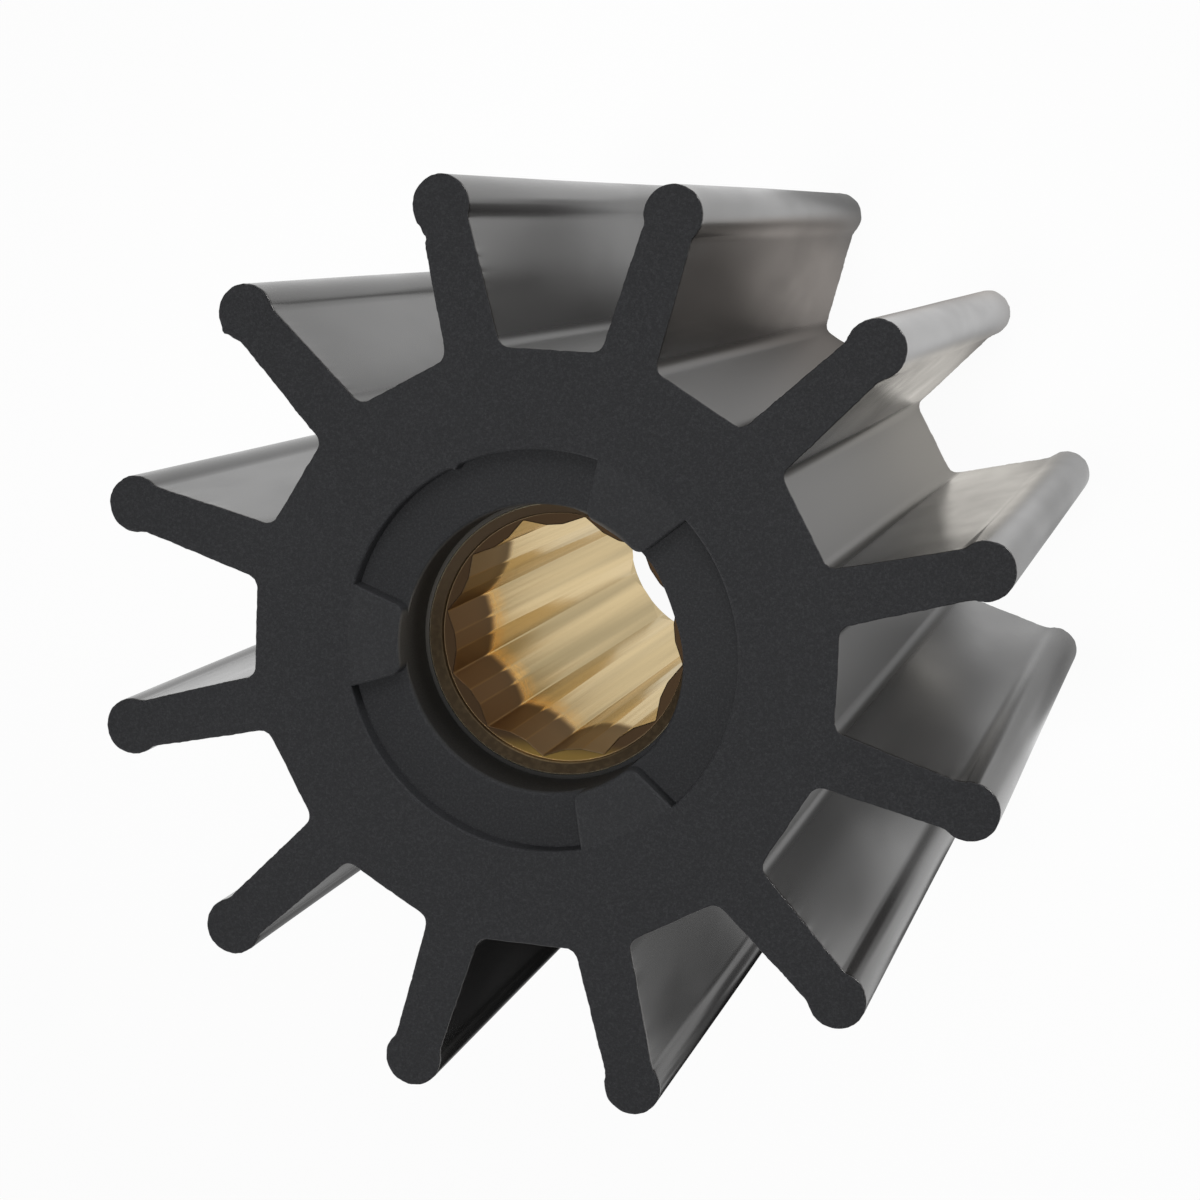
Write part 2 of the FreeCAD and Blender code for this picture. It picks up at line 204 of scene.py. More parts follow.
RECESS_PAINTED_LIGHT_FADE = 0.4 * MM
SEAT_SHADING_FULL_RADIUS = SEAT_RADIUS - 0.05 * MM
SEAT_SHADING_END_RADIUS = SEAT_RADIUS + 0.25 * MM
SEAT_SHADING_FULL_X = 5 * MM
SEAT_SHADING_END_X = 10 * MM
SEAT_SHADING_LOW_Y = -9 * MM
SEAT_SHADING_HIGH_Y = 5 * MM
HUB_ROUGH_RADIUS = HUB_FLAT_RADIUS + 0.9 * MM
HUB_ROUGH_END_RADIUS = HUB_FLAT_RADIUS + 2.0 * MM

# Painted dark brown reflections on the front end of the bore, on one side of it: the side they
# lie away from, how far down they reach, the soft edge where they end, and where across the bore
# they are deep

PAINTED_REFLECTION_AWAY = math.radians(33)
PAINTED_REFLECTION_SIDE_START = -0.5 * MM
PAINTED_REFLECTION_SIDE_END = -2.0 * MM
PAINTED_REFLECTION_DEEP_START = -6.0 * MM
PAINTED_REFLECTION_DEEP_END = -11.0 * MM
PAINTED_REFLECTION_LENGTH = 14.6 * MM
PAINTED_REFLECTION_UNEVENNESS = 4.0 * MM
PAINTED_REFLECTION_CORNERS = 1.8 * MM
PAINTED_REFLECTION_EDGE = 1.5 * MM
PAINTED_REFLECTION_FRINGE = 7.0 * MM
PAINTED_REFLECTION_DARK_STRETCH = 6.0 * MM

# Front end of the insert: the fading edges of its colours, and where along Y they change: painted
# light towards the top, and a painted highlight and painted light at the bottom

SHOULDER_FADE = 0.1 * MM
WELL_FADE = 0.02 * MM
UPPER_START_Y = -2 * MM
RING_PAINTED_LIGHT_Y = 9 * MM
OUTER_RIM_PAINTED_LIGHT_Y = 8 * MM
BOTTOM_FULL_Y = -12.4 * MM
BOTTOM_END_Y = -10.5 * MM

# The photograph's view: the camera's side and height, its roll, and the point of the front
# face in the middle of the picture. The lens and the sensor are in millimetres.

VIEW_AZIMUTH = math.radians(123.044)
VIEW_ELEVATION = math.radians(72.843)
VIEW_ROLL = math.radians(119.373)
VIEW_DISTANCE = 0.24488
VIEW_AIM = Vector((0.00607, 0.00576, FRONT_FACE))
LENS = 75.549
SENSOR = 36.0

# How much of the floor's white is its own: to the camera, and in reflections. There it is
# brightest under the bore and outside the blades, and darker near them: painted shade and light
# that only reflections show. The patches are soft: each has its middle, its radius, the width of
# its fading edge and its level. Two places have a warm tint of painted light.

FLOOR_SIZE = 12
FLOOR_PAINT = (0.9, 0.9, 0.9, 1)
FLOOR_GLOW_SEEN = 0.95
FLOOR_GLOW_BORE = 0.95
FLOOR_GLOW_NEAR = 0.25
FLOOR_GLOW_FAR = 1.0
FLOOR_BORE_RADIUS = 20 * MM
FLOOR_BORE_FADE = 10 * MM
FLOOR_BLADES_RADIUS = 40 * MM
FLOOR_BLADES_FADE = 12 * MM
FLOOR_PATCHES = (
    (Vector((62, 8, 0)) * MM, 12 * MM, 14 * MM, 0.74),
    (Vector((50, 0, 0)) * MM, 3.5 * MM, 6 * MM, 0.55),
    (Vector((11, 48, 0)) * MM, 4.5 * MM, 5 * MM, 0.36),
    (Vector((51, -13, 0)) * MM, 3.5 * MM, 8 * MM, 0.32),
    (Vector((42, -54, 0)) * MM, 5.5 * MM, 4 * MM, 0.06),
    (Vector((36, -47, 0)) * MM, 6 * MM, 6 * MM, 0.13),
    (Vector((4, -74, 0)) * MM, 24 * MM, 12 * MM, 0.012),
    (Vector((38, -66, 0)) * MM, 8 * MM, 5 * MM, 0.15),
    (Vector((-45, -75, 0)) * MM, 28 * MM, 12 * MM, 0.3),
    (Vector((37, -7, 0)) * MM, 3 * MM, 7 * MM, 0.85),
    (Vector((-1, 44, 0)) * MM, 2 * MM, 8 * MM, 0.75),
    (Vector((16, 33, 0)) * MM, 3 * MM, 7 * MM, 0.56),
)
FLOOR_WARM_PLACE = Vector((30.5, 15, 0)) * MM
FLOOR_WARM_RADIUS = 5 * MM
FLOOR_WARM_FADE = 10 * MM
FLOOR_WARM_COLOUR = (1.0, 0.96, 0.89, 1)
FLOOR_TINT_PLACE = Vector((20, 30, 0)) * MM
FLOOR_TINT_RADIUS = 8 * MM
FLOOR_TINT_FADE = 9 * MM
FLOOR_TINT = (1.0, 0.92, 0.86, 1)

# The world's light: its level at the horizon and higher up, and the white that reflections see
# low down. Heights in it are sines of the angle over the horizon.

WORLD_LOW_LEVEL = 0.5
WORLD_HIGH_LEVEL = 0.12
WORLD_HIGH_FROM = 0.25
WORLD_WHITE_FULL = 0.25
WORLD_WHITE_END = 0.6


# Helpers for outlines. An outline is a closed list of 2-D points, and it runs anticlockwise.

def polar(radius, angle):
    """The point at this radius and angle."""
    return Vector((radius * math.cos(angle), radius * math.sin(angle)))


def turned(point, angle):
    """The point turned about the shaft axis."""
    return Matrix.Rotation(angle, 2) @ point


def mirrored(points):
    """The points on the other side of the X axis, in reverse order."""
    return [Vector((point.x, -point.y)) for point in reversed(points)]


def arc(centre, radius, start, end, steps):
    """Points along an arc from one angle to another, without the last."""
    return [
        centre + polar(radius, start + (end - start) * step / steps)
        for step in range(steps)
    ]


def line(start, end, steps):
    """Points along a straight line, without the last."""
    return [start.lerp(end, step / steps) for step in range(steps)]


def heading(vector):
    """The angle of a 2-D vector."""
    return math.atan2(vector.y, vector.x)


def rounded_corner(before, corner, after, radius, steps):
    """Points of the arc that rounds a corner between two straight lines, both ends included."""
    to_before = (before - corner).normalized()
    to_after = (after - corner).normalized()
    half_angle = to_before.angle(to_after) / 2
    reach = radius / math.tan(half_angle)
    centre = corner + (to_before + to_after).normalized() * radius / math.sin(half_angle)
    start = corner + to_before * reach - centre
    end = corner + to_after * reach - centre
    sweep = math.atan2(start.cross(end), start.dot(end))
    first = heading(start)
    return [
        centre + polar(radius, first + sweep * step / steps)
        for step in range(steps + 1)
    ]


def outward_normals(outline):
    """The outward direction at each point of an outline."""
    normals = []
    for place, point in enumerate(outline):
        after = outline[(place + 1) % len(outline)]
        before = outline[place - 1]
        forward = (after - point).normalized() + (point - before).normalized()
        normals.append(Vector((forward.y, -forward.x)).normalized())
    return normals


def half_blade():
    """Half of a blade's outline along +X: from the tip, round the bead, along the side and
    the root fillet to the middle of the hub facet."""
    half_pitch = BLADE_PITCH / 2
    bead = Vector((BEAD_PLACE, 0))
    neck_drop = math.sqrt(BEAD_RADIUS ** 2 - (NECK_THICKNESS / 2) ** 2)
    neck = Vector((BEAD_PLACE - neck_drop, NECK_THICKNESS / 2))
    root = Vector((HUB_FLAT_RADIUS, ROOT_THICKNESS / 2))
    along = (neck - root).normalized()
    outward = Vector((-along.y, along.x))
    facet = polar(1, half_pitch)

    blend_line = root + outward * NECK_BLEND
    offset = blend_line - bead
    toward = offset.dot(along)
    reach = BEAD_RADIUS + NECK_BLEND
    blend_place = -toward - math.sqrt(toward ** 2 - offset.length_squared + reach ** 2)
    blend_centre = blend_line + along * blend_place

    fillet_line = root + outward * ROOT_FILLET
    fillet_height = HUB_FLAT_RADIUS + ROOT_FILLET - fillet_line.dot(facet)
    fillet_centre = fillet_line + along * fillet_height / along.dot(facet)

    bead_end = heading(blend_centre - bead)
    blend_start = bead_end - math.pi
    side = heading(-outward)
    side_start = blend_centre - outward * NECK_BLEND
    side_end = fillet_centre - outward * ROOT_FILLET
    facet_start = fillet_centre - facet * ROOT_FILLET
    points = arc(bead, BEAD_RADIUS, 0, bead_end, BEAD_STEPS)
    points += arc(blend_centre, NECK_BLEND, blend_start, side, NECK_STEPS)
    points += line(side_start, side_end, BLADE_SIDE_STEPS)
    points += arc(fillet_centre, ROOT_FILLET, side, half_pitch - math.pi, ROOT_STEPS)
    points += line(facet_start, facet * HUB_FLAT_RADIUS, FACET_STEPS)
    return points


def body_outline():
    """The outline of hub and blades."""
    half = half_blade()
    middle = polar(HUB_FLAT_RADIUS, -BLADE_PITCH / 2)
    blade = [middle] + mirrored(half[1:]) + half
    return [
        turned(point, BLADE_PITCH * (place + 0.5))
        for place in range(BLADE_COUNT)
        for point in blade
    ]


def bulge(angle, middle, half_spread):
    """A smooth hump over a stretch of angles: 1 in its middle and 0 outside."""
    away = abs((angle - middle + math.pi) % (2 * math.pi) - math.pi) / half_spread
    return math.cos(away * math.pi / 2) ** 2 if away < 1 else 0.0


def seat_lean(angle):
    """How far the upper edge of the seat leans inwards at this angle."""
    hump = bulge(angle, SEAT_LEAN_MIDDLE, SEAT_LEAN_HALF_SPREAD)
    lean = min(1.0, SEAT_LEAN_STEEPNESS * hump)
    more = bulge(angle, SEAT_LEAN_MORE_MIDDLE, SEAT_LEAN_MORE_HALF_SPREAD)
    return SEAT_LEAN * lean + SEAT_LEAN_MORE * more


def leaned(point):
    """A point of the sunk ring's outline, drawn inwards with the seat's edge."""
    radius = point.length
    nearness = max(0.0, 1 - (radius - SEAT_RADIUS) / SEAT_LEAN_REACH)
    return point * (1 - seat_lean(heading(point)) * nearness / radius)


def recess_outline():
    """The outline of the sunk ring with its lands, and for each of its points whether it
    lies on the tip of a land, on the wall of the seat."""
    half_tab = math.pi / TAB_COUNT
    tab_root_angle = math.asin(TAB_ROOT_WIDTH / 2 / RECESS_RADIUS)
    tab_tip_angle = math.asin(TAB_TIP_WIDTH / 2 / INSERT_RADIUS)
    rim_end = polar(RECESS_RADIUS, half_tab - tab_root_angle)
    bore_end = polar(INSERT_RADIUS, half_tab - tab_tip_angle)
    side = (bore_end - rim_end).normalized()

    # The corner's arc touches the side of the land from within and the seat circle from
    # outside.
    inward = Vector((-side.y, side.x))
    if inward.dot(polar(1, half_tab)) < 0:
        inward = -inward
    corner_line = rim_end + inward * TAB_CORNER
    toward = corner_line.dot(side)
    reach = SEAT_RADIUS + TAB_CORNER
    corner_place = -toward - math.sqrt(toward ** 2 - corner_line.length_squared + reach ** 2)
    corner_centre = corner_line + side * corner_place
    touch_side = heading(-inward)
    touch_seat = heading(-corner_centre)
    sweep = (touch_seat - touch_side + math.pi) % (2 * math.pi) - math.pi
    corner_angle = heading(corner_centre)

    axis = Vector((0, 0))
    side_end = corner_centre - inward * TAB_CORNER
    half = arc(axis, RECESS_RADIUS, 0, half_tab - tab_root_angle, RECESS_RIM_STEPS)
    half += line(rim_end, side_end, LAND_SIDE_STEPS)
    half += arc(corner_centre, TAB_CORNER, touch_side, touch_side + sweep, LAND_CORNER_STEPS)
    on_seat_from = len(half)
    half += arc(axis, SEAT_RADIUS, corner_angle, half_tab, LAND_TIP_STEPS)
    half_marks = [place >= on_seat_from for place in range(len(half))]

    tip_middle = polar(SEAT_RADIUS, -half_tab)
    lobe = [tip_middle] + mirrored(half[1:]) + half
    marks = [True] + half_marks[:0:-1] + half_marks
    outline = [
        leaned(turned(point, 2 * half_tab * place))
        for place in range(TAB_COUNT)
        for point in lobe
    ]
    return outline, marks * TAB_COUNT


def spline_outline():
    """The outline of the splined bore: sharp groove bottoms and soft tooth tips."""
    half_pitch = GROOVE_PITCH / 2
    tip_sweep = math.asin(TOOTH_TIP_WIDTH / 2 / TOOTH_TIP_RADIUS)
    bottom = polar(GROOVE_BOTTOM_RADIUS, 0)
    tip_start = polar(TOOTH_TIP_RADIUS, half_pitch - tip_sweep)
    tip_end = polar(TOOTH_TIP_RADIUS, half_pitch + tip_sweep)
    next_bottom = polar(GROOVE_BOTTOM_RADIUS, GROOVE_PITCH)
    tip_before = Vector((tip_start.x, -tip_start.y))

    def tooth_corner(before, corner, after):
        """One soft corner of the tooth tip."""
        return rounded_corner(before, corner, after, TOOTH_CORNER_ROUND, TOOTH_CORNER_STEPS)

    tooth = rounded_corner(
        tip_before, bottom, tip_start, GROOVE_BOTTOM_ROUND, GROOVE_BOTTOM_STEPS
    )
    next_groove = turned(tooth[0], GROOVE_PITCH)
    corner = tooth_corner(bottom, tip_start, tip_end)
    other_corner = tooth_corner(tip_start, tip_end, next_bottom)
    tooth += line(tooth[-1], corner[0], FLANK_STEPS)[1:]
    tooth += corner
    tooth += line(corner[-1], other_corner[0], TOOTH_TIP_STEPS)[1:]
    tooth += other_corner
    tooth += line(other_corner[-1], next_groove, FLANK_STEPS)[1:]
    return [
        turned(point, SPLINE_CLOCKING + GROOVE_PITCH * place)
        for place in range(GROOVE_COUNT)
        for point in tooth
    ]


def offset_outline(outline, normals, distance):
    """The outline moved outwards, by one distance or by a distance for each point."""
    distances = distance if isinstance(distance, list) else [distance] * len(outline)
    return [point + normal * out for point, normal, out in zip(outline, normals, distances)]


# Helpers for meshes made of rings

def ring(mesh, points, height):
    """Vertices over an outline, at one height or at a height for each point."""
    heights = height if isinstance(height, list) else [height] * len(points)
    return [mesh.verts.new((point.x, point.y, z)) for point, z in zip(points, heights)]


def bridge(mesh, low, high, material=0):
    """Quads between two rings of as many vertices."""
    for place in range(len(low)):
        face = mesh.faces.new((low[place - 1], low[place], high[place], high[place - 1]))
        face.material_index = material


def bridge_rings(mesh, rings):
    """Quads between each ring and the next."""
    for low, high in zip(rings, rings[1:]):
        bridge(mesh, low, high)


def fill(mesh, loops):
    """A flat face between closed loops of vertices, made of triangles."""
    edges = []
    for loop in loops:
        for place in range(len(loop)):
            pair = (loop[place - 1], loop[place])
            edges.append(mesh.edges.get(pair) or mesh.edges.new(pair))
    bmesh.ops.triangle_fill(mesh, edges=edges, use_beauty=True, use_dissolve=False)


def edge_profile():
    """Steps over a rounded edge, from a flat rim on the end face to the side: how far in from
    the side and how deep below the face each one is, as shares of the edge's radius."""
    angles = [math.pi / 2 * step / EDGE_STEPS for step in range(EDGE_STEPS + 1)]
    quarter = [(1 - math.sin(angle), 1 - math.cos(angle)) for angle in angles]
    return [(1 + EDGE_RIM, 0.0)] + quarter


def finish_piece(mesh, name, materials, node):
    """The mesh as a piece of the scene that stands for its CAD node and rides on its body."""
    bmesh.ops.remove_doubles(mesh, verts=mesh.verts, dist=MERGE_DISTANCE)
    bmesh.ops.recalc_face_normals(mesh, faces=mesh.faces)
    data = bpy.data.meshes.new(name)
    mesh.to_mesh(data)
    mesh.free()
    for material in materials:
        data.materials.append(material)
    data.shade_smooth()
    data.set_sharp_from_angle(angle=SHARP_ANGLE)
    piece = bpy.data.objects.new(name, data)
    bpy.context.scene.collection.objects.link(piece)
    flatten = piece.modifiers.new("flat_faces", "WEIGHTED_NORMAL")
    flatten.keep_sharp = True
    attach(piece, "root")
    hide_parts(node)
    return piece


# Helpers for materials

def add_node(tree, kind, inputs=None, **settings):
    """A node with its settings. Each input is a value, or the output that feeds it."""
    node = tree.nodes.new(kind)
    for name, value in settings.items():
        setattr(node, name, value)
    for name, value in (inputs or {}).items():
        if isinstance(value, bpy.types.NodeSocket):
            tree.links.new(value, node.inputs[name])
        else:
            node.inputs[name].default_value = value
    return node


def new_material(name):
    """An empty material, its node tree and its Principled shader."""
    material = bpy.data.materials.new(name)
    material.use_nodes = True
    tree = material.node_tree
    shader = tree.nodes["Principled BSDF"]
    return material, tree, shader


def calc(tree, operation, first, second=0.0, clamp=False):
    """The result of one sum, product or function of one or two numbers."""
    node = add_node(tree, "ShaderNodeMath", {0: first, 1: second}, operation=operation)
    node.use_clamp = clamp
    return node.outputs[0]


def multiply_vectors(tree, first, second):
    """Two vectors or colours multiplied, axis by axis."""
    return add_node(
        tree, "ShaderNodeVectorMath", {0: first, 1: second}, operation="MULTIPLY"
    ).outputs[0]


def measure(tree, operation, first, second=(0, 0, 0)):
    """The number that a length, a distance or a dot product gives."""
    node = add_node(tree, "ShaderNodeVectorMath", {0: first, 1: second}, operation=operation)
    return node.outputs["Value"]


def own_place(tree):
    """The place of a point in the object's own space."""
    return add_node(tree, "ShaderNodeTexCoord").outputs["Object"]


def axis_values(tree, vector):
    """The X, Y and Z of a vector."""
    axes = add_node(tree, "ShaderNodeSeparateXYZ", {"Vector": vector}).outputs
    return axes[0], axes[1], axes[2]


def shaft_distance(tree, place):
    """How far a place lies from the shaft axis."""
    return measure(tree, "LENGTH", multiply_vectors(tree, place, (1, 1, 0)))


def ray_kinds(tree):
    """Whether a point is seen straight by the camera, and whether it is seen in a reflection
    or through glass."""
    path = add_node(tree, "ShaderNodeLightPath").outputs
    mirrored_ray = calc(
        tree, "ADD", path["Is Glossy Ray"], path["Is Transmission Ray"], clamp=True
    )
    return path["Is Camera Ray"], mirrored_ray


def stretched_noise(tree, scale, detail=4.0, roughness=0.5):
    """Noise in the object's own space, with a scale for each axis, in cycles per metre."""
    mapping = add_node(tree, "ShaderNodeMapping", {"Vector": own_place(tree), "Scale": scale})
    texture = add_node(
        tree,
        "ShaderNodeTexNoise",
        {"Vector": mapping.outputs[0], "Scale": 1.0, "Detail": detail, "Roughness": roughness},
    )
    return texture.outputs[0]


def remap(tree, value, low, high, to_low, to_high):
    """A value carried from one range to another and held there."""
    node = add_node(
        tree,
        "ShaderNodeMapRange",
        {"Value": value, "From Min": low, "From Max": high, "To Min": to_low, "To Max": to_high},
        interpolation_type="SMOOTHSTEP",
    )
    return node.outputs[0]


def blend_values(tree, share, first, second):
    """One number blended into another."""
    return add_node(
        tree, "ShaderNodeMapRange", {"Value": share, "To Min": first, "To Max": second}
    ).outputs[0]


def mix_colours(tree, share, first, second):
    """One colour blended into another."""
    node = tree.nodes.new("ShaderNodeMix")
    node.data_type = "RGBA"
    sockets = {socket.identifier: socket for socket in node.inputs}
    for identifier, value in (
        ("Factor_Float", share), ("A_Color", first), ("B_Color", second)
    ):
        if isinstance(value, bpy.types.NodeSocket):
            tree.links.new(value, sockets[identifier])
        else:
            sockets[identifier].default_value = value
    return next(socket for socket in node.outputs if socket.identifier == "Result_Color")


def add_bump(tree, height, distance, strength=1.0, under=None):
    """A bump of this height in metres, over another one."""
    inputs = {"Height": height, "Distance": distance, "Strength": strength}
    if under:
        inputs["Normal"] = under
    return add_node(tree, "ShaderNodeBump", inputs).outputs[0]


# Rubber materials

def make_end_rubber():
    """The matt, fine-grained rubber of the end faces, with paler specks."""
    material, tree, shader = new_material("rubber_ends")
    grain = stretched_noise(tree, (6500, 6500, 6500), 3.0, 0.6)
    mottle = stretched_noise(tree, (3800, 3800, 3800), 4.0, 0.8)
    cloud = stretched_noise(tree, (90, 90, 90), 3.0)
    colour = mix_colours(tree, cloud, END_DARK, END_PALE)
    pits = remap(tree, mottle, 0.35, 0.65, 0.38, 0.0)
    colour = mix_colours(tree, pits, colour, END_PIT)
    specks = remap(tree, mottle, 0.46, 0.7, 0.0, 0.46)
    colour = mix_colours(tree, specks, colour, END_SPECK)

    # The sunk ring is a little paler: painted light that lifts the shade it lies in.
    place = own_place(tree)
    radius = shaft_distance(tree, place)
    recess_light = remap(tree, radius, RECESS_RADIUS - RECESS_PAINTED_LIGHT_FADE, RECESS_RADIUS, 0.13, 0.0)
    colour = mix_colours(tree, recess_light, colour, RECESS_PAINTED_LIGHT)

    # Painted light and shade on the seat's wall: dark low down in the picture, and much paler
    # higher up, where painted light lifts the key lamp's shadow.
    x, y, _ = axis_values(tree, place)
    seat_shading = remap(tree, radius, SEAT_SHADING_FULL_RADIUS, SEAT_SHADING_END_RADIUS, 0.8, 0.0)
    seat_shading = calc(tree, "MULTIPLY", seat_shading, remap(tree, x, SEAT_SHADING_FULL_X, SEAT_SHADING_END_X, 1.0, 0.0))
    seat_shading_height = remap(tree, y, SEAT_SHADING_LOW_Y, SEAT_SHADING_HIGH_Y, 0.0, 1.0)
    seat_shading_colour = mix_colours(tree, seat_shading_height, SEAT_SHADING_LOW, SEAT_SHADING_HIGH)
    colour = mix_colours(tree, seat_shading, colour, seat_shading_colour)
    tree.links.new(colour, shader.inputs["Base Color"])
    tree.links.new(remap(tree, grain, 0.3, 0.7, 0.68, 0.82), shader.inputs["Roughness"])
    tree.links.new(add_bump(tree, grain, 0.02 * MM, 0.5), shader.inputs["Normal"])
    shader.inputs["Specular IOR Level"].default_value = 0.35
    return material


def make_side_rubber():
    """The smooth moulded rubber of blades and hub: satin, a little cloudy, and with faint
    ripples along the length."""
    material, tree, shader = new_material("rubber_sides")
    ripples = stretched_noise(tree, (260, 260, 4), 1.5, 0.5)
    swell = stretched_noise(tree, (110, 110, 4), 1.5, 0.5)
    cloud = stretched_noise(tree, (75, 75, 24), 3.0, 0.55)
    grain = stretched_noise(tree, (4200, 4200, 2600), 2.0)
    tree.links.new(mix_colours(tree, cloud, SIDE_DARK, SIDE_PALE), shader.inputs["Base Color"])
    radius = shaft_distance(tree, own_place(tree))
    on_hub = remap(tree, radius, HUB_ROUGH_RADIUS, HUB_ROUGH_END_RADIUS, 1.0, 0.0)
    on_blades = remap(tree, cloud, 0.3, 0.7, 0.15, 0.25)
    tree.links.new(blend_values(tree, on_hub, on_blades, 0.36), shader.inputs["Roughness"])
    waves = add_bump(tree, swell, 0.07 * MM, 0.8)
    waves = add_bump(tree, ripples, 0.012 * MM, 0.8, waves)
    tree.links.new(add_bump(tree, grain, 0.0015 * MM, 0.5, waves), shader.inputs["Normal"])
    shader.inputs["Specular Tint"].default_value = (1.0, 0.98, 0.955, 1)
    return material


# Brass material

def facet_shape(tree, x, y):
    """How far a point of the splined bore lies from the edges of its facet: 0 on them, and 1
    over most of the facet."""
    turn = calc(tree, "SUBTRACT", calc(tree, "ARCTAN2", y, x), SPLINE_CLOCKING)
    phase = calc(tree, "FRACT", calc(tree, "DIVIDE", turn, GROOVE_PITCH))
    off_tip = calc(tree, "ABSOLUTE", calc(tree, "SUBTRACT", phase, 0.5))
    flank_middle = (TIP_SHARE + 0.5) / 2
    flank_half = (0.5 - TIP_SHARE) / 2
    shapes = []
    for middle, half in ((0.0, TIP_SHARE), (flank_middle, flank_half)):
        away = calc(tree, "DIVIDE", calc(tree, "SUBTRACT", off_tip, middle), half)
        square = calc(tree, "MULTIPLY", away, away)
        shapes.append(calc(tree, "SUBTRACT", 1.0, calc(tree, "MULTIPLY", square, square)))
    return calc(tree, "MAXIMUM", calc(tree, "MAXIMUM", shapes[0], shapes[1]), 0.0)


def bore_colour(tree, place, grain):
    """The gold of the bore, with soft stripes along it and painted dark brown reflections. It
    gives the colour, and how much of it is painted reflection."""
    x, y, height = axis_values(tree, place)
    stripes = stretched_noise(tree, (420, 420, 5), 2.0, 0.5)
    drift = stretched_noise(tree, (70, 70, 0), 1.0, 0.5)
    gold = remap(tree, stripes, 0.3, 0.7, 0.0, 1.0)
    colour = mix_colours(tree, gold, GOLD_DARK, GOLD_BRIGHT)

    # The painted reflection ends in one lobe on each facet, with a painted orange fringe beyond
    # it.
    facet = facet_shape(tree, x, y)
    lobes = calc(tree, "MULTIPLY", remap(tree, facet, 0.0, 0.8, 0.0, 1.0), PAINTED_REFLECTION_CORNERS)
    uneven = calc(tree, "MULTIPLY", calc(tree, "SUBTRACT", drift, 0.5), PAINTED_REFLECTION_UNEVENNESS)
    reach = calc(tree, "ADD", calc(tree, "ADD", lobes, uneven), PAINTED_REFLECTION_LENGTH - PAINTED_REFLECTION_CORNERS)
    depth = calc(tree, "SUBTRACT", INSERT_FRONT, height)
    past = calc(tree, "SUBTRACT", depth, reach)
    side = (math.cos(PAINTED_REFLECTION_AWAY), math.sin(PAINTED_REFLECTION_AWAY), 0)
    across = measure(tree, "DOT_PRODUCT", place, side)
    one_side = remap(tree, across, PAINTED_REFLECTION_SIDE_END, PAINTED_REFLECTION_SIDE_START, 1.0, 0.0)
    deep = remap(tree, across, PAINTED_REFLECTION_DEEP_END, PAINTED_REFLECTION_DEEP_START, 1.0, 0.0)
    fringe = calc(tree, "MULTIPLY", remap(tree, past, 0.0, PAINTED_REFLECTION_FRINGE, 1.0, 0.0), deep)
    fringe = calc(tree, "MULTIPLY", fringe, remap(tree, grain, 0.35, 0.6, 0.55, 1.0))
    colour = mix_colours(tree, fringe, colour, PAINTED_FRINGE_ORANGE)

    # The painted reflection itself is paler at the edges of a facet and darker near its own end.
    browns = mix_colours(tree, deep, PAINTED_REFLECTION_PALE, PAINTED_REFLECTION_DEEP)
    near_edge = remap(tree, facet, 0.0, 0.6, 0.5, 0.0)
    browns = mix_colours(tree, near_edge, browns, PAINTED_REFLECTION_CORNER)
    near_end = remap(tree, past, -PAINTED_REFLECTION_DARK_STRETCH, 0.0, 0.0, 0.35)
    browns = mix_colours(tree, near_end, browns, PAINTED_REFLECTION_DARK)
    not_past = remap(tree, past, -PAINTED_REFLECTION_EDGE, PAINTED_REFLECTION_EDGE, 1.0, 0.0)
    painted_reflection = calc(tree, "MULTIPLY", not_past, one_side)
    return mix_colours(tree, painted_reflection, colour, browns), painted_reflection


